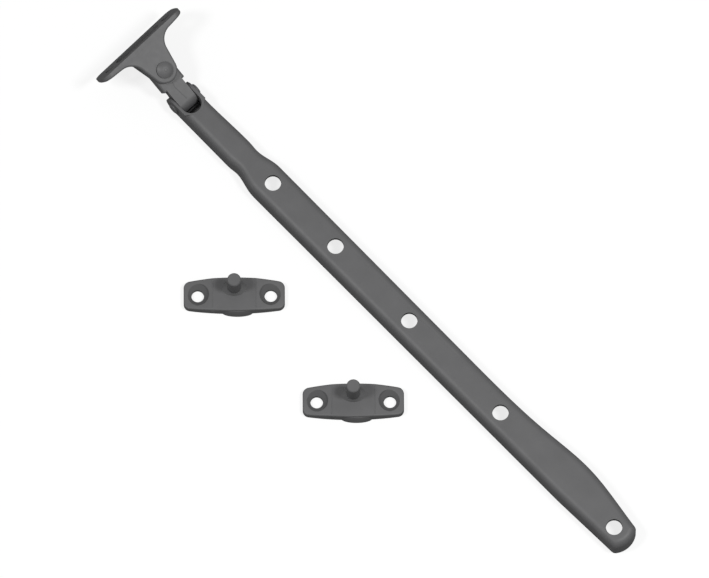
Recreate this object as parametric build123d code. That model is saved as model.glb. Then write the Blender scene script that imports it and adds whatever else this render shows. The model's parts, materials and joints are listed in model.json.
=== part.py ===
from build123d import *
import math
import os

# Casement window stay: a channel arm with five peg holes, a swivel link, a sash bracket and two peg plates.
# Millimetres. Shapes are drawn with the lift rivet at x = 0 and the arm's rim at z = 0.
# They are then moved so that the origin is the first peg hole, at the arm's top face.

# Arm
arm_depth = 10.0
web_thickness = 2.0
wall = 1.7
top_round = 3.4
ear_right = 6.4
ear_left = 5.9
neck_right = 7.0
neck_left = 6.0
neck_end_x = 34.0
waist_x = 40.3
waist_right = 6.7
waist_left = 5.5
shoulder_x = 53.0
shoulder_swell = 0.2
body_right = 8.7
body_left = 7.6
grip_start_x = 170.0
grip_x = 245.5
grip_right = 12.1
grip_left = 6.6
grip_swell = 0.8
grip_fall = 0.12
tip_x = grip_x + 36.5
tip_right = 8.1
tip_left = 5.4
tip_bulge = 2.6
tip_corner = 2.6
peg_hole_diameter = 7.2
peg_hole_x = [56.0, 96.0, 143.0, 201.0, 273.0]
peg_hole_y = 0.9
fork_end_x = 9.2
bulkhead_x = 13.0
ear_point = 2.4
ear_round = 0.5

# Pivots
pivot_clearance = 0.05
gap = 0.3
lift_shank_diameter = 3.6
lift_head_diameter = 5.4
lift_head_height = 1.3
lift_tail_height = 0.9
lift_head_round = 0.6
swing_shank_diameter = 4.6
swing_head_diameter = 7.5
swing_head_height = 2.0
swing_tail_height = 1.5
pivot_distance = 17.0
rest_tilt = 24.0
rest_swing = 1.2

# Link
fork_half_width = ear_right - wall
tongue_half_width = fork_half_width - gap
tongue_radius = arm_depth / 2 - gap
link_half_width = 5.9
link_shoulder_x = 8.3
link_corner = 0.5
link_drop = 0.5
link_round = 1.0
neck_round = 2.0

# Sash bracket
bracket_half_height = 8.0
plate_distance = 32.4
plate_thickness = 3.2
plate_end_thickness = 2.0
plate_half_length = 22.4
plate_end_bulge = 1.3
plate_corner = 4.0
bracket_ear_radius = 6.0
ear_taper = 12.0
flare_radius = 7.5
bracket_round = 0.9
bracket_screw_diameter = 4.5
bracket_sink_diameter = 8.6
bracket_sink_edge = 1.1
recess_edge = 0.4
bracket_screw_spacing = 2 * (plate_half_length - bracket_sink_edge) - bracket_sink_diameter
recess_length = bracket_screw_spacing - bracket_sink_diameter - recess_edge
recess_height = 9.0
recess_depth = 1.2

# Peg plates
plate_turn = 47.0
peg_plate_places = [(80.4, -45.3), (151.6, -40.8)]
peg_plate_length = 44.3
peg_plate_end_width = 12.0
peg_plate_mid_width = 15.4
peg_plate_corner = 3.0
peg_plate_thickness = 3.0
peg_block_height = 5.0
peg_plate_round = 0.7
peg_diameter = 6.0
peg_height = 12.0
peg_offset = 2.7
peg_foot_half_length = 6.0
peg_foot_height = 1.3
peg_foot_round = 0.4
peg_screw_diameter = 5.5
peg_sink_diameter = 10.0
peg_sink_edge = 1.15
peg_crease_edge = 1.6
peg_screw_spacing = peg_plate_length - 2 * peg_sink_edge - peg_sink_diameter
peg_block_length = peg_screw_spacing - peg_sink_diameter - 2 * peg_crease_edge

lift_z = arm_depth / 2
ear_under = tongue_radius + gap
to_row = Pos(-peg_hole_x[0], -peg_hole_y, -arm_depth)
tilted = Pos(0, 0, lift_z) * Rot(0, rest_tilt, 0)
swung = Pos(-pivot_distance, 0, 0) * Rot(0, 0, rest_swing) * Pos(pivot_distance, 0, 0)


def arm_plan(inset, start_x):
    """Face under the arm's outline seen from above, with its long sides moved inwards by inset."""
    grip_end_x = tip_x - tip_bulge - inset
    with BuildSketch() as plan:
        with BuildLine():
            ear_r = Line((start_x, ear_right - inset), (fork_end_x, ear_right - inset))
            neck_r = Spline(ear_r @ 1, (neck_end_x, neck_right - inset), tangents=[(1, 0), (1, 0)])
            step_r = Spline(
                neck_r @ 1,
                (waist_x, waist_right - inset),
                ((waist_x + shoulder_x) / 2, (waist_right + body_right) / 2 + shoulder_swell - inset),
                (shoulder_x, body_right - inset),
                tangents=[(1, 0), (1, 0)],
            )
            body_r = Line(step_r @ 1, (grip_start_x, body_right - inset))
            grip_r = Spline(
                body_r @ 1,
                ((grip_start_x + 2 * grip_x) / 3, (body_right + 2 * grip_right) / 3 - grip_swell - inset),
                (grip_x, grip_right - inset),
                (grip_end_x, tip_right - inset),
                tangents=[(1, 0), (1, -grip_fall)],
            )
            tip = ThreePointArc(
                grip_r @ 1,
                (tip_x - inset, (tip_right - tip_left) / 2),
                (grip_end_x, inset - tip_left),
            )
            grip_l = Line(tip @ 1, (grip_x, inset - grip_left))
            body_l = Line(grip_l @ 1, (shoulder_x, inset - body_left))
            step_l = Spline(
                body_l @ 1,
                ((waist_x + shoulder_x) / 2, inset - (waist_left + body_left) / 2 - shoulder_swell),
                (waist_x, inset - waist_left),
                (neck_end_x, inset - neck_left),
                tangents=[body_l % 1, (-1, 0)],
            )
            neck_l = Spline(step_l @ 1, (fork_end_x, inset - ear_left), tangents=[(-1, 0), (-1, 0)])
            ear_l = Line(neck_l @ 1, (start_x, inset - ear_left))
            Line(ear_l @ 1, ear_r @ 0)
        make_face()
        corners = plan.vertices().filter_by(lambda v: abs(v.X - grip_end_x) < 0.01)
        fillet(corners, max(tip_corner - inset / 2, 0.8))
    return plan.sketch


def arm_side():
    """Outline of the arm seen from the side, with the fork's end round about the lift rivet."""
    with BuildSketch(Plane.XZ) as side:
        with Locations((0, lift_z)):
            Circle(lift_z)
        with Locations((0, 0)):
            Rectangle(tip_x + 1, arm_depth, align=(Align.MIN, Align.MIN))
    return side.sketch


def ear_block():
    """Square-edged block that the fork's ears are cut from, ending in a blunt point inside the arm."""
    tail = fork_end_x - ear_point
    reach = 2 * ear_right
    with BuildSketch() as plan:
        Polygon(
            (-reach, -ear_left),
            (tail, -ear_left),
            (fork_end_x + ear_point, 0),
            (tail, ear_right),
            (-reach, ear_right),
            align=None,
        )
    block = extrude(plan.sketch, arm_depth) & extrude(arm_side(), reach, both=True)
    middle = (ear_right - ear_left) / 2
    outside = (ear_right + ear_left) / 2
    rim = block.edges().filter_by(lambda e: abs(abs(e.center().Y - middle) - outside) < 0.01)
    return fillet(rim.filter_by(lambda e: e.center().Z > ear_round and e.center().X < tail - 0.1), ear_round)


def make_arm():
    """Channel arm, open below, with peg holes in its web and a fork for the link."""
    reach = 2 * ear_right
    body = extrude(arm_plan(0, -reach), arm_depth)
    rim = body.faces().sort_by(Axis.Z)[-1].edges().filter_by(lambda e: e.center().X > -reach + 0.5)
    body = fillet(rim, top_round)
    body = (body + ear_block()) & extrude(arm_side(), 2 * grip_right, both=True)
    pocket = extrude(arm_plan(wall, -reach), arm_depth - web_thickness)
    bulkhead = Box(4 * reach, 4 * reach, 4 * reach, align=(Align.MAX, Align.CENTER, Align.CENTER))
    body = body - (pocket - Pos(bulkhead_x, 0, 0) * bulkhead) - fork_cutter()
    for x in peg_hole_x:
        body = body - Pos(x, peg_hole_y, arm_depth) * Cylinder(peg_hole_diameter / 2, 3 * web_thickness)
    return body - across(lift_shank_diameter / 2, 2 * reach)


def fork_cutter():
    """Space that the tongue turns in: a gap open in front and below, a seat behind it, and a round notch above."""
    reach = 4 * ear_right
    gap_box = Box(reach, 2 * fork_half_width, reach, align=(Align.MAX, Align.CENTER, Align.CENTER))
    notch = Cylinder(fork_half_width, arm_depth, align=(Align.CENTER, Align.CENTER, Align.MIN))
    notch += Box(reach, 2 * fork_half_width, arm_depth, align=(Align.MAX, Align.CENTER, Align.MIN))
    seat = across(tongue_radius + 2 * gap, 2 * fork_half_width)
    return gap_box + Pos(fork_end_x - fork_half_width, 0, lift_z) * notch + seat


def across(radius, length):
    """Cylinder on the lift rivet's axis, which lies across the arm."""
    return Pos(0, 0, lift_z) * Rot(90, 0, 0) * Cylinder(radius, length)


def dome(radius, height):
    """Rivet head with a low domed top, standing on z = 0."""
    edge = 0.35 * height
    rise = height - edge
    ball = (radius**2 + rise**2) / (2 * rise)
    crown = Pos(0, 0, height - ball) * Sphere(ball)
    return crown & Cylinder(radius, height, align=(Align.CENTER, Align.CENTER, Align.MIN))


def button(radius, height):
    """Flat rivet head with a rounded edge, standing on z = 0."""
    head = Cylinder(radius, height, align=(Align.CENTER, Align.CENTER, Align.MIN))
    return fillet(head.edges().group_by(Axis.Z)[-1], lift_head_round)


def make_lift_rivet():
    """Rivet across the fork, with a head on one ear and a lower clenched tail on the other."""
    middle = (ear_right - ear_left) / 2
    rivet = Pos(0, middle, 0) * across(lift_shank_diameter / 2, ear_right + ear_left)
    rivet += Pos(0, ear_right, lift_z) * Rot(-90, 0, 0) * button(lift_head_diameter / 2, lift_head_height)
    rivet += Pos(0, -ear_left, lift_z) * Rot(90, 0, 0) * button(lift_head_diameter / 2, lift_tail_height)
    return rivet


def eye_plan():
    """Link's eye and shoulders seen from above."""
    length = pivot_distance - link_shoulder_x
    with BuildSketch() as plan:
        with Locations((-pivot_distance, 0)):
            Circle(link_half_width)
            Rectangle(length, 2 * link_half_width, align=(Align.MIN, Align.CENTER))
        corners = plan.vertices().filter_by(lambda v: v.X > -link_shoulder_x - 0.01)
        fillet(corners, link_corner)
    return plan.sketch


def tongue_side():
    """Tongue seen from the side: a barrel about the lift rivet, and the neck that joins it to the eye."""
    height = tongue_radius + link_drop
    with BuildSketch(Plane.XZ) as side:
        Circle(tongue_radius)
        with Locations((0, tongue_radius)):
            Rectangle(pivot_distance, height, align=(Align.MAX, Align.MAX))
        throat = side.vertices().filter_by(lambda v: -tongue_radius < v.X < -0.1 and v.Y < 0)
        fillet(throat, neck_round)
    return side.sketch


def make_link():
    """Swivel link: the tongue turns in the arm's fork, the eye turns under the bracket's ear."""
    eye = Pos(0, 0, -link_drop) * extrude(eye_plan(), tongue_radius + link_drop)
    eye = fillet(eye.edges().group_by(Axis.Z)[-1], link_round)
    link = eye + extrude(tongue_side(), tongue_half_width, both=True)
    link = link - Pos(-pivot_distance, 0, 0) * Cylinder(swing_shank_diameter / 2 + pivot_clearance, 4 * lift_z)
    link = link - Rot(90, 0, 0) * Cylinder(lift_shank_diameter / 2 + pivot_clearance, 4 * lift_z)
    return tilted * link


def plate_plan():
    """Mounting plate seen from above: flat against the sash, and bowed behind so that its ends are thinner."""
    reach = plate_half_length + plate_end_bulge
    end_x = plate_end_thickness - plate_distance
    with BuildSketch() as plan:
        with BuildLine():
            low = Line((-plate_distance, -reach), (end_x, -reach))
            back = ThreePointArc(low @ 1, (plate_thickness - plate_distance, 0), (end_x, reach))
            high = Line(back @ 1, (-plate_distance, reach))
            Line(high @ 1, low @ 0)
        make_face()
    return plan.sketch


def bracket_plan():
    """Bracket seen from above: round ear, tapered web, and the plate, which the web flares into."""
    cosine = math.cos(math.radians(ear_taper))
    sine = math.sin(math.radians(ear_taper))
    side_x = bracket_ear_radius * sine - pivot_distance
    side_y = bracket_ear_radius * cosine
    foot_x = plate_thickness / 2 - plate_distance
    foot_y = side_y + (side_x - foot_x) * sine / cosine
    with BuildSketch() as plan:
        add(plate_plan())
        with Locations((-pivot_distance, 0)):
            Circle(bracket_ear_radius)
        Polygon((foot_x, -foot_y), (side_x, -side_y), (side_x, side_y), (foot_x, foot_y), align=None)
        corners = plan.vertices().filter_by(lambda v: side_y < abs(v.Y) < plate_half_length and v.X > foot_x)
        fillet(corners, flare_radius)
    return plan.sketch


def bracket_face():
    """Outline of the mounting plate, seen square on: long, with slightly bowed ends."""
    top = bracket_half_height
    with BuildSketch(Plane.YZ.offset(-plate_distance)) as face:
        with BuildLine():
            low = Line((-plate_half_length, -top), (plate_half_length, -top))
            end = ThreePointArc(low @ 1, (plate_half_length + plate_end_bulge, 0), (plate_half_length, top))
            high = Line(end @ 1, (-plate_half_length, top))
            ThreePointArc(high @ 1, (-plate_half_length - plate_end_bulge, 0), low @ 0)
        make_face()
        fillet(face.vertices(), plate_corner)
    return face.sketch


def make_bracket():
    """Sash bracket: a screwed plate, and an ear along its upper edge that lies on the link, in one casting."""
    ear = Pos(0, 0, ear_under) * extrude(bracket_plan(), bracket_half_height - ear_under)
    bracket = ear + extrude(plate_plan(), bracket_half_height, both=True)
    bracket = bracket & extrude(bracket_face(), plate_distance)
    behind = bracket.edges().filter_by(lambda e: e.center().X > -plate_distance + plate_end_thickness / 2)
    rim = behind.filter_by(lambda e: abs(e.center().Z - ear_under) > 0.01 or abs(e.center().Y) > plate_half_length)
    rim = rim.filter_by(lambda e: abs(e.center().Z) > bracket_half_height - 0.01 or abs(e.center().Y) > 18)
    bracket = fillet(rim, bracket_round)
    bracket = bracket - Pos(-pivot_distance, 0, 0) * Cylinder(swing_shank_diameter / 2, 4 * bracket_half_height)
    sink = countersink_cutter(bracket_screw_diameter / 2, bracket_sink_diameter / 2, plate_distance)
    bow = (bracket_screw_spacing / 2 / (plate_half_length + plate_end_bulge)) ** 2
    seat = plate_thickness - (plate_thickness - plate_end_thickness) * bow
    for y in (bracket_screw_spacing / 2, -bracket_screw_spacing / 2):
        bracket = bracket - Pos(seat - plate_distance, y, 0) * Rot(0, 90, 0) * sink
    with BuildSketch(Plane.YZ.offset(-plate_distance)) as recess:
        SlotOverall(recess_length, recess_height)
    bracket = bracket - extrude(recess.sketch, recess_depth)
    return tilted * swung * bracket


def countersink_cutter(radius, sink_radius, reach):
    """Cutter for a countersunk hole: mouth at z = 0, hole going down, clear of metal for reach both ways."""
    depth = sink_radius - radius
    cone = Pos(0, 0, -depth / 2) * Cone(radius, sink_radius, depth)
    shank = Cylinder(radius, reach, align=(Align.CENTER, Align.CENTER, Align.MAX))
    mouth = Cylinder(sink_radius, reach, align=(Align.CENTER, Align.CENTER, Align.MIN))
    return cone + shank + mouth


def make_swing_rivet():
    """Rivet through the ear and the link's eye, with a domed head above and a lower head under the link."""
    low = -link_drop - gap
    radius = swing_head_diameter / 2
    shank = Cylinder(swing_shank_diameter / 2, bracket_half_height - low, align=(Align.CENTER, Align.CENTER, Align.MIN))
    rivet = Pos(0, 0, low) * shank
    rivet += Pos(0, 0, bracket_half_height) * dome(radius, swing_head_height)
    rivet += Pos(0, 0, low) * Rot(180, 0, 0) * dome(radius, swing_tail_height)
    return tilted * Pos(-pivot_distance, 0, 0) * rivet


def peg_plate_plan():
    """Barrel-sided outline of a peg plate."""
    half = peg_plate_length / 2
    end = peg_plate_end_width / 2
    mid = peg_plate_mid_width / 2
    with BuildSketch() as plan:
        with BuildLine():
            front = ThreePointArc((-half, -end), (0, -mid), (half, -end))
            right = Line(front @ 1, (half, end))
            back = ThreePointArc(right @ 1, (0, mid), (-half, end))
            Line(back @ 1, front @ 0)
        make_face()
        fillet(plan.vertices(), peg_plate_corner)
    return plan.sketch


def peg_plate_side():
    """Side outline of a peg plate: a level middle, from which both ends slope down."""
    half = peg_plate_length / 2
    block = peg_block_length / 2
    with BuildSketch(Plane.XZ) as side:
        Polygon(
            (-half, 0),
            (half, 0),
            (half, peg_plate_thickness),
            (block, peg_block_height),
            (-block, peg_block_height),
            (-half, peg_plate_thickness),
            align=None,
        )
    return side.sketch


def make_peg_plate(place):
    """Screwed plate with the peg that an arm hole drops over, in one casting."""
    base = extrude(peg_plate_plan(), peg_block_height)
    base = base & extrude(peg_plate_side(), peg_plate_mid_width, both=True)
    top = base.edges().filter_by(lambda e: e.center().Z > peg_plate_thickness - 0.01)
    outside = top.filter_by(lambda e: abs(e.center().Y) > 1.0 or abs(e.center().X) > peg_plate_length / 2 - 4)
    base = fillet(outside, peg_plate_round)
    with BuildSketch(Plane.XY.offset(peg_block_height - peg_foot_round)) as foot:
        with Locations((0, peg_offset)):
            Ellipse(peg_foot_half_length, peg_diameter / 2 + 1.0)
    with BuildSketch(Plane.XY.offset(peg_block_height + peg_foot_height)) as waist:
        with Locations((0, peg_offset)):
            Ellipse(peg_diameter / 2 + 0.25, peg_diameter / 2)
    base += loft([foot.sketch, waist.sketch])
    root = peg_block_height / 2
    peg = Cylinder(peg_diameter / 2, peg_height + root, align=(Align.CENTER, Align.CENTER, Align.MIN))
    peg = chamfer(peg.edges().group_by(Axis.Z)[-1], peg_foot_round)
    base += Pos(0, peg_offset, peg_block_height - root) * peg
    sink = countersink_cutter(peg_screw_diameter / 2, peg_sink_diameter / 2, peg_height)
    slope = (peg_block_height - peg_plate_thickness) / (peg_plate_length - peg_block_length)
    sink_z = peg_plate_thickness + slope * (peg_plate_length - peg_screw_spacing)
    for x in (peg_screw_spacing / 2, -peg_screw_spacing / 2):
        base = base - Pos(x, 0, sink_z) * sink
    return Pos(*place, 0) * Rot(0, 0, plate_turn) * base


def save(node, shape):
    """Write one node in the row frame."""
    export_step(to_row * shape, f"parts/{node}.step")


os.makedirs("parts", exist_ok=True)
save("stay_arm", make_arm())
save("lift_rivet", make_lift_rivet())
save("swivel_link", make_link())
save("sash_bracket", make_bracket())
save("swing_rivet", make_swing_rivet())
save("peg_plate_1", make_peg_plate(peg_plate_places[0]))
save("peg_plate_2", make_peg_plate(peg_plate_places[1]))
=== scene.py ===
"""A casement window stay with its link, sash bracket and peg plates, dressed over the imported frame.

Metres, in the frame's own axes: +X along the arm towards its grip, +Z up out of the peg holes.
"""

import json
import logging
import math
from dataclasses import dataclass, field
from enum import Enum
from typing import Any

import bmesh
import bpy
from mathutils import Matrix, Vector

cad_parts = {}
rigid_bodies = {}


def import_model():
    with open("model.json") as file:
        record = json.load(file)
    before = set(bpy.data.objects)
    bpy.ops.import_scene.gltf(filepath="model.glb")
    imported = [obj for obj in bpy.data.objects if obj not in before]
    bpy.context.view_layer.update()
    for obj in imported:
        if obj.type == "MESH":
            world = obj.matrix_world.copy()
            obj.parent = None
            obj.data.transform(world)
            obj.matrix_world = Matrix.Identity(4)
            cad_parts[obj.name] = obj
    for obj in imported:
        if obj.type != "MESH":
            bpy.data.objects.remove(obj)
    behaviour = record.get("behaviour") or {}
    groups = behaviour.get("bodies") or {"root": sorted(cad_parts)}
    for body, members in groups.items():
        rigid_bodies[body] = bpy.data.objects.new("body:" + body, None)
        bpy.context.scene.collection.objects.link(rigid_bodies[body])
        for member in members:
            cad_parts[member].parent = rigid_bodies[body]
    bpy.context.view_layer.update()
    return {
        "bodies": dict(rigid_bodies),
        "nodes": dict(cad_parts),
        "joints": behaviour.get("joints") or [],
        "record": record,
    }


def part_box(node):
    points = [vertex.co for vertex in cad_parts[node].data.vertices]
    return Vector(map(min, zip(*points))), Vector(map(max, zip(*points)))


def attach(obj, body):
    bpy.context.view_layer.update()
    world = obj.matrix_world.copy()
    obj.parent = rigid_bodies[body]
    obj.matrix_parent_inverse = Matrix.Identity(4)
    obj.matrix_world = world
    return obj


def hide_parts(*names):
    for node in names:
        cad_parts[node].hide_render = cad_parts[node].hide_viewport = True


LOG = logging.getLogger("window_stay")
MM = 0.001
WHITE = (1.0, 1.0, 1.0, 1.0)
SAME_POINT = 2e-6
SLIVER = 1e-6
LEVEL_WITHIN = math.radians(0.5)
SMOOTH_BELOW = math.radians(25)
SOFTEN_ABOVE = math.radians(40)


class Coat(Enum):
    """The powder-coated parts, each with its own batch of coating."""

    ARM = "arm"
    FITTING = "fitting"
    RIVET = "rivet"


class Run(Enum):
    """Which way a seam runs. The value is the axis that its bead's disc is turned about."""

    ALONG_X = "Y"
    ALONG_Y = "X"


@dataclass
class NodeWeb:
    """A material's nodes and the links between them.

    Args:
        tree: the material's or world's node tree.
    """

    tree: bpy.types.NodeTree

    def add(self, kind: str) -> bpy.types.Node:
        """Adds a node of a kind and returns it."""
        return self.tree.nodes.new(kind)

    def join(self, out: bpy.types.NodeSocket, into: bpy.types.NodeSocket) -> None:
        """Links an output to an input."""
        self.tree.links.new(out, into)


@dataclass(frozen=True)
class Grain:
    """A noise pattern.

    Args:
        size: size of its cells, in metres.
        octaves: layers of finer noise.
    """

    size: float
    octaves: float

    def socket(self, web: NodeWeb, place: bpy.types.Node) -> bpy.types.NodeSocket:
        """Lays the noise on Object coordinates.

        Args:
            web: the material's nodes.
            place: its Texture Coordinate node.

        Returns:
            The noise's factor socket.
        """
        noise = web.add("ShaderNodeTexNoise")
        noise.inputs["Scale"].default_value = 1.0 / self.size
        noise.inputs["Detail"].default_value = self.octaves
        web.join(place.outputs["Object"], noise.inputs["Vector"])
        return noise.outputs["Fac"]


@dataclass(frozen=True)
class PowderCoat:
    """Satin anthracite powder coat: a fine orange-peel skin with faint cloudiness.

    Args:
        name: name of the material.
        colour: linear base colour.
        cloud: how far the colour drifts lighter and darker over the surface.
        cloud_span: noise values between which it drifts.
        roughness: roughness of the skin.
        glossier: how much less rough it gets where the coat is thick.
        duller: how much rougher it gets where the coat is thin.
        clouds: pattern of the cloudiness.
        skin: pattern of the roughness.
        peel: pattern of the orange peel.
        peel_strength: strength of the orange-peel bump.
        peel_height: height of the orange peel, in metres.
        refraction: index of refraction of the coat.
    """

    name: str
    colour: tuple[float, float, float]
    cloud: float = 0.05
    cloud_span: tuple[float, float] = (0.3, 0.7)
    roughness: float = 0.52
    glossier: float = 0.05
    duller: float = 0.07
    clouds: Grain = Grain(9.0 * MM, 3.0)
    skin: Grain = Grain(2.4 * MM, 4.0)
    peel: Grain = Grain(1.4 * MM, 2.0)
    peel_strength: float = 0.02
    peel_height: float = 0.1 * MM
    refraction: float = 1.5

    def build(self) -> bpy.types.Material:
        """Makes the node material.

        Returns:
            The finished material, on Object coordinates.
        """
        material = bpy.data.materials.new(self.name)
        material.use_nodes = True
        web = NodeWeb(material.node_tree)
        shader = web.tree.nodes["Principled BSDF"]
        shader.inputs["Metallic"].default_value = 0.0
        shader.inputs["IOR"].default_value = self.refraction
        place = web.add("ShaderNodeTexCoord")
        web.join(self._cloudy_colour(web, place), shader.inputs["Base Color"])
        web.join(self._skin_roughness(web, place), shader.inputs["Roughness"])
        web.join(self._orange_peel(web, place), shader.inputs["Normal"])
        return material

    def _cloudy_colour(self, web: NodeWeb, place: bpy.types.Node) -> bpy.types.NodeSocket:
        """Base colour that drifts a little over the surface.

        Args:
            web: the material's nodes.
            place: its Texture Coordinate node.

        Returns:
            The colour socket.
        """
        ramp = web.add("ShaderNodeValToRGB")
        low, high = ramp.color_ramp.elements
        low.position, high.position = self.cloud_span
        low.color = (*(c * (1 - self.cloud) for c in self.colour), 1)
        high.color = (*(c * (1 + self.cloud) for c in self.colour), 1)
        web.join(self.clouds.socket(web, place), ramp.inputs["Fac"])
        return ramp.outputs["Color"]

    def _skin_roughness(self, web: NodeWeb, place: bpy.types.Node) -> bpy.types.NodeSocket:
        """Roughness that varies with the coating's thickness.

        Args:
            web: the material's nodes.
            place: its Texture Coordinate node.

        Returns:
            The roughness socket.
        """
        spread = web.add("ShaderNodeMapRange")
        spread.inputs["To Min"].default_value = self.roughness - self.glossier
        spread.inputs["To Max"].default_value = self.roughness + self.duller
        web.join(self.skin.socket(web, place), spread.inputs["Value"])
        return spread.outputs["Result"]

    def _orange_peel(self, web: NodeWeb, place: bpy.types.Node) -> bpy.types.NodeSocket:
        """Fine orange-peel bump of the cured powder.

        Args:
            web: the material's nodes.
            place: its Texture Coordinate node.

        Returns:
            The normal socket.
        """
        bump = web.add("ShaderNodeBump")
        bump.inputs["Strength"].default_value = self.peel_strength
        bump.inputs["Distance"].default_value = self.peel_height
        web.join(self.peel.socket(web, place), bump.inputs["Height"])
        return bump.outputs["Normal"]


COATS = {
    Coat.ARM: PowderCoat("anthracite_arm", (0.104, 0.104, 0.106)),
    Coat.FITTING: PowderCoat("anthracite_fittings", (0.102, 0.102, 0.104), cloud=0.06),
    Coat.RIVET: PowderCoat("anthracite_rivets", (0.106, 0.106, 0.108), cloud=0.04, roughness=0.48),
}


@dataclass(frozen=True)
class Pivots:
    """The stay's two pivots as it lies at rest.

    Args:
        lift_pin: centre of the lift rivet.
        distance: distance from the lift rivet to the swing rivet.
        tilt: how far the link is lifted off the arm's line, in degrees.
        swing: how far the bracket is swung off the link's line, in degrees.
    """

    lift_pin: tuple[float, float, float] = (-56.0 * MM, -0.9 * MM, -5.0 * MM)
    distance: float = 17.0 * MM
    tilt: float = 24.0
    swing: float = 1.2

    def link(self) -> Matrix:
        """The link's own axes: origin on the swing rivet, x towards the arm, z up the rivet.

        Returns:
            The matrix from those axes to the frame.
        """
        pin = Matrix.Translation(self.lift_pin)
        lifted = Matrix.Rotation(math.radians(self.tilt), 4, "Y")
        return pin @ lifted @ Matrix.Translation((-self.distance, 0, 0))

    def bracket(self) -> Matrix:
        """The bracket's own axes: origin on the swing rivet, x away from the sash, z up the rivet.

        Returns:
            The matrix from those axes to the frame.
        """
        return self.link() @ Matrix.Rotation(math.radians(self.swing), 4, "Z")


def shade(bm: bmesh.types.BMesh) -> None:
    """Shades a mesh smooth, with its corners left sharp.

    Args:
        bm: mesh to shade.
    """
    for face in bm.faces:
        face.smooth = True
    for edge in bm.edges:
        edge.smooth = edge.calc_face_angle(0.0) < SMOOTH_BELOW


def sink(
    bm: bmesh.types.BMesh, faces: list[bmesh.types.BMFace], move: tuple[float, float, float] | Vector
) -> list[bmesh.types.BMFace]:
    """Extrudes faces along a move, and leaves none behind inside the shape.

    Args:
        bm: mesh that holds them.
        faces: faces to extrude.
        move: how far they travel, in metres.

    Returns:
        The faces at the far end.
    """
    region = set(faces)
    joined = any(near not in region for face in faces for edge in face.edges for near in edge.link_faces)
    made = bmesh.ops.extrude_face_region(bm, geom=faces)["geom"]
    if joined:
        bmesh.ops.delete(bm, geom=faces, context="FACES")
    bmesh.ops.translate(bm, vec=move, verts=[v for v in made if isinstance(v, bmesh.types.BMVert)])
    return [f for f in made if isinstance(f, bmesh.types.BMFace)]


def rim_of(faces: list[bmesh.types.BMFace]) -> list[bmesh.types.BMVert]:
    """Returns the vertices of some faces, each once."""
    return list({vert for face in faces for vert in face.verts})


def soften(bm: bmesh.types.BMesh, width: float, segments: int = 3) -> None:
    """Rounds every sharp corner of a closed shape.

    Args:
        bm: mesh to soften.
        width: width of the rounding, in metres.
        segments: facets across it.
    """
    bmesh.ops.recalc_face_normals(bm, faces=bm.faces)
    bm.normal_update()
    sharp = [edge for edge in bm.edges if edge.calc_face_angle(0.0) > SOFTEN_ABOVE]
    bmesh.ops.bevel(
        bm,
        geom=sharp,
        offset=width,
        offset_type="OFFSET",
        affect="EDGES",
        segments=segments,
        profile=0.5,
        material=-1,
        clamp_overlap=True,
    )


@dataclass(kw_only=True)
class Piece:
    """A coated piece of the stay.

    Args:
        name: its name.
        body: body that it rides on.
        coat: which coating it has.
    """

    name: str
    body: str
    coat: Coat = Coat.FITTING

    def mesh(self, frame: dict[str, Any]) -> bmesh.types.BMesh:
        """Makes the piece's shape in the frame's axes."""
        raise NotImplementedError

    def build(self, frame: dict[str, Any], materials: dict[Coat, bpy.types.Material]) -> bpy.types.Object:
        """Makes the piece, coats it and sets it on its body.

        Args:
            frame: the loaded frame.
            materials: the finished coatings.

        Returns:
            The dressed piece.
        """
        bm = self.mesh(frame)
        shade(bm)
        data = bpy.data.meshes.new(self.name)
        bm.to_mesh(data)
        closed = all(edge.is_manifold for edge in bm.edges)
        LOG.info("%s: %d faces, closed %s, rides on %s", self.name, len(bm.faces), closed, self.body)
        bm.free()
        data.materials.append(materials[self.coat])
        piece = bpy.data.objects.new(self.name, data)
        bpy.context.scene.collection.objects.link(piece)
        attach(piece, self.body)
        return piece


@dataclass(kw_only=True)
class Casting(Piece):
    """A piece that keeps the shape of its frame node, which it stands for.

    Args:
        node: the frame node.
    """

    node: str

    def mesh(self, frame: dict[str, Any]) -> bmesh.types.BMesh:
        """Joins the node's loose triangles into one skin.

        Args:
            frame: the loaded frame.

        Returns:
            The merged mesh.
        """
        bm = bmesh.new()
        bm.from_mesh(frame["nodes"][self.node].data)
        bmesh.ops.remove_doubles(bm, verts=bm.verts, dist=SAME_POINT)
        bmesh.ops.dissolve_degenerate(bm, edges=bm.edges, dist=SLIVER)
        bmesh.ops.dissolve_limit(
            bm, angle_limit=LEVEL_WITHIN, verts=bm.verts, edges=bm.edges, delimit={"NORMAL"}
        )
        return bm

    def build(self, frame: dict[str, Any], materials: dict[Coat, bpy.types.Material]) -> bpy.types.Object:
        """Makes the piece and lets it stand for its node.

        Args:
            frame: the loaded frame.
            materials: the finished coatings.

        Returns:
            The dressed piece.
        """
        piece = super().build(frame, materials)
        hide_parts(self.node)
        return piece


def casting(node: str, body: str, coat: Coat) -> Casting:
    """Returns the plain casting of a node."""
    return Casting(name=f"{node}_skin", node=node, body=body, coat=coat)


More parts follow.
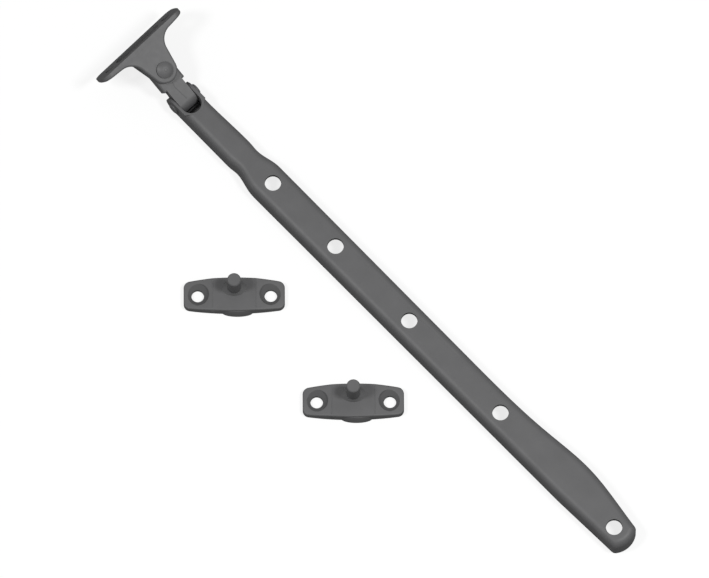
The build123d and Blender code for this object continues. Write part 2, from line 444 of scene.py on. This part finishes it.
@dataclass(kw_only=True)
class ArmCasting(Casting):
    """The arm, with the hollow behind the tongue cast as deep as the photograph shows it dark.

    Args:
        floor_z: height of the hollow's level floor.
        front_x: place that the hollow lies in front of.
        depth: how much deeper the floor goes.
        within: how near a face's height has to be to the floor's.
        level: least upward part of a level face's normal.
    """

    floor_z: float = -5.0 * MM
    front_x: float = -46.0 * MM
    depth: float = 4.4 * MM
    within: float = 0.05 * MM
    level: float = 0.99

    def mesh(self, frame: dict[str, Any]) -> bmesh.types.BMesh:
        """Sinks the hollow's floor in the arm's merged skin.

        Args:
            frame: the loaded frame.

        Returns:
            The arm's mesh.
        """
        bm = super().mesh(frame)
        floor = [face for face in bm.faces if self._is_floor(face)]
        LOG.info("hollow behind the tongue: %d floor faces", len(floor))
        sink(bm, floor, (0, 0, -self.depth))
        return bm

    def _is_floor(self, face: bmesh.types.BMFace) -> bool:
        """Tells whether a face is the hollow's floor.

        Args:
            face: a face of the arm.

        Returns:
            True if it is.
        """
        middle = face.calc_center_median()
        at_height = abs(middle.z - self.floor_z) < self.within
        return face.normal.z > self.level and at_height and middle.x < self.front_x


@dataclass(kw_only=True)
class Detail(Piece):
    """A modelled form that a casting has beside its frame shape.

    Args:
        place: matrix from its own axes to the frame.
    """

    place: Matrix

    def shape(self, bm: bmesh.types.BMesh) -> None:
        """Makes the form in its own axes."""
        raise NotImplementedError

    def mesh(self, frame: dict[str, Any]) -> bmesh.types.BMesh:
        """Makes the form and puts it in its place.

        Args:
            frame: the loaded frame.

        Returns:
            The form's mesh.
        """
        bm = bmesh.new()
        self.shape(bm)
        bmesh.ops.recalc_face_normals(bm, faces=bm.faces)
        bmesh.ops.transform(bm, matrix=self.place, verts=bm.verts)
        return bm


@dataclass(kw_only=True)
class LowerEar(Detail):
    """The bracket's lower ear, under the link, and the web that joins it to the upper one.

    Args:
        radius: radius of the ear's end.
        facets: facets of a full turn of that radius.
        taper: slope of its sides, in degrees.
        web_x: front of the web behind the link's eye.
        flare: (x, half width) of the stations from the web to inside the plate.
        low: underside of the ear.
        thickness: thickness of the ear.
        web_top: height of the web, inside the upper ear.
        edge: rounding of its corners.
    """

    radius: float = 5.2 * MM
    facets: int = 48
    taper: float = 14.0
    web_x: float = -6.4 * MM
    flare: tuple[tuple[float, float], ...] = (
        (-8.6 * MM, 7.5 * MM),
        (-11.0 * MM, 9.0 * MM),
        (-13.0 * MM, 11.0 * MM),
    )
    low: float = -3.3 * MM
    thickness: float = 2.5 * MM
    web_top: float = 6.0 * MM
    edge: float = 0.4 * MM

    def shape(self, bm: bmesh.types.BMesh) -> None:
        """Thickens the ear's plan and raises the web from its rear.

        Args:
            bm: empty mesh.
        """
        self._plan(bm)
        bmesh.ops.translate(bm, vec=(0, 0, self.low), verts=bm.verts)
        top = sink(bm, bm.faces[:], (0, 0, self.thickness))
        rear = [face for face in top if face.calc_center_median().x < self.web_x]
        sink(bm, rear, (0, 0, self.web_top - self.low - self.thickness))
        soften(bm, self.edge)

    def _plan(self, bm: bmesh.types.BMesh) -> None:
        """Cuts a disc where its sides turn straight, and draws the cut back to the plate.

        Args:
            bm: empty mesh.
        """
        slope = math.radians(self.taper)
        start_x = self.radius * math.sin(slope)
        start_y = self.radius * math.cos(slope)
        bmesh.ops.create_circle(bm, cap_ends=True, radius=self.radius, segments=self.facets)
        everything = [*bm.verts, *bm.edges, *bm.faces]
        bmesh.ops.bisect_plane(
            bm, geom=everything, plane_co=(start_x, 0, 0), plane_no=(1, 0, 0), clear_inner=True
        )
        edges = [e for e in bm.edges if all(abs(v.co.x - start_x) < SLIVER for v in e.verts)]
        web_y = start_y + (start_x - self.web_x) * math.tan(slope)
        at_x, at_y = start_x, start_y
        for x, y in ((self.web_x, web_y), *self.flare):
            made = bmesh.ops.extrude_edge_only(bm, edges=edges)["geom"]
            verts = [v for v in made if isinstance(v, bmesh.types.BMVert)]
            edges = [e for e in made if isinstance(e, bmesh.types.BMEdge)]
            bmesh.ops.scale(bm, vec=(1, y / at_y, 1), verts=verts)
            bmesh.ops.translate(bm, vec=(x - at_x, 0, 0), verts=verts)
            at_x, at_y = x, y


@dataclass(kw_only=True)
class Button(Detail):
    """A low round button: a rivet's tail, or the mark in the middle of its head.

    Args:
        radius: radius of its foot.
        height: height of its top, negative for one that hangs down.
        base: height of its foot.
        facets: facets round it.
        profile: (share of the height, share of the radius) from the foot to the top.
    """

    radius: float
    height: float
    base: float
    facets: int = 40
    profile: tuple[tuple[float, float], ...] = ((0.4, 1.0), (0.8, 0.82), (1.0, 0.45))

    def shape(self, bm: bmesh.types.BMesh) -> None:
        """Raises the button from a disc, step by step along its profile.

        Args:
            bm: empty mesh.
        """
        bmesh.ops.create_circle(bm, cap_ends=True, radius=self.radius, segments=self.facets)
        bmesh.ops.translate(bm, vec=(0, 0, self.base), verts=bm.verts)
        top = bm.faces[:]
        at_height, at_radius = 0.0, 1.0
        for height, radius in self.profile:
            top = sink(bm, top, (0, 0, (height - at_height) * self.height))
            share = radius / at_radius
            bmesh.ops.scale(bm, vec=(share, share, 1), verts=rim_of(top))
            at_height, at_radius = height, radius


@dataclass(kw_only=True)
class PlateLip(Detail):
    """The lip that bulges from the foot of a peg plate's front.

    Args:
        middle: centre of the bulge in the plate's axes.
        reach: half its length and half its width.
        facets: facets round it.
        height: height of the lip.
        lean: share of its length and of its width that are left at the top.
        edge: rounding of its rim.
    """

    middle: tuple[float, float] = (1.4 * MM, -7.1 * MM)
    reach: tuple[float, float] = (6.8 * MM, 2.0 * MM)
    facets: int = 48
    height: float = 4.0 * MM
    lean: tuple[float, float] = (0.85, 0.4)
    edge: float = 0.5 * MM

    def shape(self, bm: bmesh.types.BMesh) -> None:
        """Stretches a disc into the bulge and raises it, leaning back against the plate.

        Args:
            bm: empty mesh.
        """
        bmesh.ops.create_circle(bm, cap_ends=True, radius=1.0, segments=self.facets)
        bmesh.ops.scale(bm, vec=(*self.reach, 1), verts=bm.verts)
        top = sink(bm, bm.faces[:], (0, 0, self.height))
        bmesh.ops.scale(bm, vec=(*self.lean, 1), verts=rim_of(top))
        bmesh.ops.translate(bm, vec=(*self.middle, 0), verts=bm.verts)
        soften(bm, self.edge)


@dataclass(kw_only=True)
class Seam(Detail):
    """A faint raised line that the mould leaves on a top face.

    Args:
        points: places along the line, on the face, in the piece's axes.
        radius: radius of the bead.
        facets: facets round the bead.
        proud: height of the bead over the face.
        run: which way the line runs.
    """

    points: tuple[tuple[float, float, float], ...]
    radius: float = 0.35 * MM
    facets: int = 12
    proud: float = 0.06 * MM
    run: Run = Run.ALONG_X

    def shape(self, bm: bmesh.types.BMesh) -> None:
        """Draws a disc along the points into a closed bead.

        Args:
            bm: empty mesh.
        """
        sunk = Vector((0, 0, self.proud - self.radius))
        at = Vector(self.points[0]) + sunk
        stand = Matrix.Translation(at) @ Matrix.Rotation(math.radians(90), 4, self.run.value)
        bmesh.ops.create_circle(
            bm, cap_ends=True, radius=self.radius, segments=self.facets, matrix=stand
        )
        end = bm.faces[:]
        for point in self.points[1:]:
            goal = Vector(point) + sunk
            end = sink(bm, end, goal - at)
            at = goal


@dataclass
class SubAssembly:
    """Pieces that belong together."""

    def pieces(self) -> list[Piece]:
        """Lists the pieces, each with its place."""
        raise NotImplementedError

    def build(
        self, frame: dict[str, Any], materials: dict[Coat, bpy.types.Material]
    ) -> list[bpy.types.Object]:
        """Builds every piece in order.

        Args:
            frame: the loaded frame.
            materials: the finished coatings.

        Returns:
            The dressed pieces.
        """
        return [piece.build(frame, materials) for piece in self.pieces()]


@dataclass
class Arm(SubAssembly):
    """The holed arm and the rivet across its fork.

    Args:
        body: body that they ride on.
    """

    body: str = "arm"

    def pieces(self) -> list[Piece]:
        """Lists the arm and its rivet.

        Returns:
            The pieces.
        """
        return [
            ArmCasting(name="stay_arm_skin", node="stay_arm", body=self.body, coat=Coat.ARM),
            casting("lift_rivet", self.body, Coat.RIVET),
        ]


@dataclass
class Link(SubAssembly):
    """The swivel link with the mould's seam along its top.

    Args:
        pivots: the stay's pivots.
        body: body that it rides on.
        top: height of its level top over the lift rivet's centre.
        seam: (x, y) along the seam, from the eye to the tongue.
    """

    pivots: Pivots
    body: str = "link"
    top: float = 4.7 * MM
    seam: tuple[tuple[float, float], ...] = (
        (7.0 * MM, 0.0),
        (9.1 * MM, -0.7 * MM),
        (12.2 * MM, -0.3 * MM),
        (15.0 * MM, 0.0),
        (16.6 * MM, 0.3 * MM),
    )

    def pieces(self) -> list[Piece]:
        """Lists the link and its seam.

        Returns:
            The pieces.
        """
        points = tuple((x, y, self.top) for x, y in self.seam)
        return [
            casting("swivel_link", self.body, Coat.FITTING),
            Seam(name="link_mould_seam", body=self.body, place=self.pivots.link(), points=points),
        ]


@dataclass
class Bracket(SubAssembly):
    """The sash bracket with its lower ear and the rivet that holds it to the link.

    Args:
        pivots: the stay's pivots.
        body: body that they ride on.
        tail: (radius, height, base) of the rivet's tail under the lower ear.
        mark: (radius, height, base) of the mark in the middle of the rivet's head.
    """

    pivots: Pivots
    body: str = "bracket"
    tail: tuple[float, float, float] = (3.4 * MM, -1.2 * MM, -3.2 * MM)
    mark: tuple[float, float, float] = (0.75 * MM, 0.3 * MM, 9.85 * MM)

    def pieces(self) -> list[Piece]:
        """Lists the bracket, its lower ear and its rivet.

        Returns:
            The pieces.
        """
        return [
            casting("sash_bracket", self.body, Coat.FITTING),
            casting("swing_rivet", self.body, Coat.RIVET),
            LowerEar(name="bracket_lower_ear", body=self.body, place=self.pivots.bracket()),
            self._button("swing_rivet_tail", self.tail),
            self._button("swing_rivet_mark", self.mark),
        ]

    def _button(self, name: str, sizes: tuple[float, float, float]) -> Button:
        """Makes ready a button on the swing rivet's axis.

        Args:
            name: its name.
            sizes: its radius, height and base.

        Returns:
            The button.
        """
        radius, height, base = sizes
        return Button(
            name=name,
            body=self.body,
            coat=Coat.RIVET,
            place=self.pivots.bracket(),
            radius=radius,
            height=height,
            base=base,
        )


@dataclass
class PegPlate(SubAssembly):
    """A peg plate with its front lip and the seams where its middle meets its sloping ends.

    Args:
        number: which of the plates it is.
        body: body that it rides on.
        turn: how far it is turned from the arm's line, in degrees.
        seam_x: distance of each seam from the plate's middle.
        seam_half: half a seam's length.
        top: height of the plate's level middle.
        seam_proud: height of a seam over the plate.
    """

    number: int
    body: str = "arm"
    turn: float = 47.0
    seam_x: float = 9.4 * MM
    seam_half: float = 6.4 * MM
    top: float = 5.0 * MM
    seam_proud: float = 0.1 * MM

    def pieces(self) -> list[Piece]:
        """Lists the plate, its lip and its seams.

        Returns:
            The pieces.
        """
        node = f"peg_plate_{self.number}"
        place = self._place(node)
        found: list[Piece] = [
            casting(node, self.body, Coat.FITTING),
            PlateLip(name=f"peg_plate_lip_{self.number}", body=self.body, place=place),
        ]
        for side, x in (("left", -self.seam_x), ("right", self.seam_x)):
            seam = Seam(
                name=f"peg_plate_seam_{self.number}_{side}",
                body=self.body,
                place=place,
                points=((x, -self.seam_half, self.top), (x, self.seam_half, self.top)),
                proud=self.seam_proud,
                run=Run.ALONG_Y,
            )
            found.append(seam)
        return found

    def _place(self, node: str) -> Matrix:
        """The plate's own axes: origin under its middle, x along it, y towards its peg.

        Args:
            node: the plate's frame node.

        Returns:
            The matrix from those axes to the frame.
        """
        low, high = (Vector(corner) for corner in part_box(node))
        middle = Vector(((low.x + high.x) / 2, (low.y + high.y) / 2, low.z))
        return Matrix.Translation(middle) @ Matrix.Rotation(math.radians(self.turn), 4, "Z")


def show_to_camera(
    web: NodeWeb, lit: bpy.types.NodeSocket, seen: bpy.types.NodeSocket, output: str
) -> None:
    """Ends a node tree in one shader for the light and another for the camera.

    Args:
        web: the node tree.
        lit: shader that the light meets.
        seen: shader that the camera meets.
        output: name of the tree's output node.
    """
    ray = web.add("ShaderNodeLightPath")
    mix = web.add("ShaderNodeMixShader")
    web.join(ray.outputs["Is Camera Ray"], mix.inputs["Fac"])
    web.join(lit, mix.inputs[1])
    web.join(seen, mix.inputs[2])
    web.join(mix.outputs["Shader"], web.tree.nodes[output].inputs["Surface"])


@dataclass(frozen=True)
class Paper:
    """White matt paper that shows white to the camera and still takes a soft shadow.

    Args:
        bounce: how much light it throws back at the object.
        roughness: its roughness.
        backing: share of its white that no shadow reaches.
    """

    bounce: float = 0.20
    roughness: float = 0.9
    backing: float = 0.8

    def build(self) -> bpy.types.Material:
        """Makes the node material.

        Returns:
            The finished material.
        """
        material = bpy.data.materials.new("floor_paper")
        material.use_nodes = True
        web = NodeWeb(material.node_tree)
        shader = web.tree.nodes["Principled BSDF"]
        shader.inputs["Base Color"].default_value = (*(self.bounce,) * 3, 1)
        shader.inputs["Roughness"].default_value = self.roughness
        sheet = web.add("ShaderNodeBsdfDiffuse")
        sheet.inputs["Color"].default_value = WHITE
        glow = web.add("ShaderNodeEmission")
        glow.inputs["Color"].default_value = WHITE
        glow.inputs["Strength"].default_value = 1.0
        seen = web.add("ShaderNodeMixShader")
        seen.inputs["Fac"].default_value = self.backing
        web.join(sheet.outputs["BSDF"], seen.inputs[1])
        web.join(glow.outputs["Emission"], seen.inputs[2])
        show_to_camera(web, shader.outputs["BSDF"], seen.outputs["Shader"], "Material Output")
        return material


@dataclass(frozen=True)
class Lamp:
    """A soft round lamp.

    Args:
        name: its name.
        place: how far it hangs to the right of, above and in front of the origin, for the camera.
        size: its diameter, in metres.
        power: its power, in watts.
    """

    name: str
    place: tuple[float, float, float]
    size: float
    power: float

    def hang(self, axes: tuple[Vector, Vector, Vector]) -> bpy.types.Object:
        """Hangs the lamp, aimed at the origin.

        Args:
            axes: the camera's right, up and backward directions.

        Returns:
            The lamp.
        """
        data = bpy.data.lights.new(self.name, "AREA")
        data.shape = "DISK"
        data.size = self.size
        data.energy = self.power
        lamp = bpy.data.objects.new(self.name, data)
        bpy.context.scene.collection.objects.link(lamp)
        right, up, back = axes
        spot = right * self.place[0] + up * self.place[1] + back * self.place[2]
        lamp.location = spot
        lamp.rotation_euler = spot.to_track_quat("Z", "Y").to_euler()
        return lamp


@dataclass
class Studio:
    """Pale floor, soft lamps and the camera at the photograph's angle.

    Args:
        pixel: length that one pixel of the photograph covers, in metres.
        width: width of the photograph, in pixels.
        height: height of the photograph, in pixels.
        hole_pixel: where the first peg hole lies in the photograph.
        azimuth: turn of the camera round the object, in degrees.
        elevation: height of the camera above the horizon, in degrees.
        distance: distance of the camera, in metres.
        sensor: width of the camera's sensor, in millimetres.
        floor_z: height of the floor, in metres.
        floor_half: half the floor's width, in metres.
        paper: the floor's finish.
        sky: strength of the even light from all round.
        lamps: the soft lamps.
    """

    pixel: float = 0.438 * MM
    width: int = 709
    height: int = 578
    hole_pixel: tuple[float, float] = (272.9, 182.85)
    azimuth: float = 46.69
    elevation: float = 72.0
    distance: float = 9.0
    sensor: float = 36.0
    floor_z: float = -10.0 * MM
    floor_half: float = 6.0
    paper: Paper = Paper()
    sky: float = 0.32
    lamps: list[Lamp] = field(
        default_factory=lambda: [
            Lamp("key", (0.72, 0.2, 1.4), 0.32, 12.0),
            Lamp("fill", (-0.78, 0.15, 1.4), 0.32, 9.5),
        ]
    )

    def build(self) -> None:
        """Lays the floor, hangs the lamps, sets the air and places the camera."""
        self.floor()
        for lamp in self.lamps:
            lamp.hang(self.axes())
        self.air()
        self.camera()
        bpy.context.scene.view_settings.view_transform = "Standard"

    def axes(self) -> tuple[Vector, Vector, Vector]:
        """The camera's directions.

        Returns:
            Its right, up and backward directions in the frame.
        """
        a = math.radians(self.azimuth)
        e = math.radians(self.elevation)
        right = Vector((math.cos(a), math.sin(a), 0))
        back = Vector((math.sin(a) * math.cos(e), -math.cos(a) * math.cos(e), math.sin(e)))
        return right, back.cross(right), back

    def camera(self) -> bpy.types.Object:
        """Sets the camera so that the first peg hole falls where the photograph has it.

        Returns:
            The camera.
        """
        right, up, back = self.axes()
        across = (self.width / 2 - self.hole_pixel[0]) * self.pixel
        down = (self.height / 2 - self.hole_pixel[1]) * self.pixel
        aim = right * across - up * down
        data = bpy.data.cameras.new("photo_camera")
        data.sensor_fit = "HORIZONTAL"
        data.sensor_width = self.sensor
        data.lens = self.sensor * self.distance / (self.width * self.pixel)
        data.clip_end = self.distance * 2
        camera = bpy.data.objects.new("photo_camera", data)
        bpy.context.scene.collection.objects.link(camera)
        camera.location = aim + back * self.distance
        camera.rotation_euler = back.to_track_quat("Z", "Y").to_euler()
        bpy.context.scene.camera = camera
        return camera

    def floor(self) -> bpy.types.Object:
        """Lays the pale floor under the object.

        Returns:
            The floor.
        """
        mesh = bpy.data.meshes.new("floor")
        bm = bmesh.new()
        bmesh.ops.create_grid(bm, x_segments=1, y_segments=1, size=self.floor_half)
        bmesh.ops.translate(bm, vec=(0, 0, self.floor_z), verts=bm.verts)
        bm.to_mesh(mesh)
        bm.free()
        floor = bpy.data.objects.new("floor", mesh)
        bpy.context.scene.collection.objects.link(floor)
        mesh.materials.append(self.paper.build())
        return floor

    def air(self) -> None:
        """Sets the even light from all round, in front of a white backdrop."""
        world = bpy.data.worlds.new("studio_air")
        world.use_nodes = True
        web = NodeWeb(world.node_tree)
        light = web.tree.nodes["Background"]
        light.inputs["Color"].default_value = WHITE
        light.inputs["Strength"].default_value = self.sky
        backdrop = web.add("ShaderNodeBackground")
        backdrop.inputs["Color"].default_value = WHITE
        lit = light.outputs["Background"]
        seen = backdrop.outputs["Background"]
        show_to_camera(web, lit, seen, "World Output")
        bpy.context.scene.world = world


@dataclass
class WindowStay:
    """The whole set, sub-assembly by sub-assembly.

    Args:
        pivots: the stay's pivots.
        plates: how many peg plates it comes with.
    """

    pivots: Pivots = Pivots()
    plates: int = 2

    def build(self, frame: dict[str, Any]) -> None:
        """Builds the sub-assemblies in order.

        Args:
            frame: the loaded frame.
        """
        materials = {coat: finish.build() for coat, finish in COATS.items()}
        parts: list[SubAssembly] = [Arm(), Link(self.pivots), Bracket(self.pivots)]
        parts.extend(PegPlate(number + 1) for number in range(self.plates))
        for part in parts:
            made = part.build(frame, materials)
            LOG.info("%s: %d pieces", type(part).__name__, len(made))


def main() -> None:
    """Builds the stay and its studio in order."""
    logging.basicConfig(level=logging.INFO, format="%(name)s: %(message)s")
    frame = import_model()
    WindowStay().build(frame)
    Studio().build()
    bpy.context.view_layer.update()


if __name__ == "__main__":
    main()
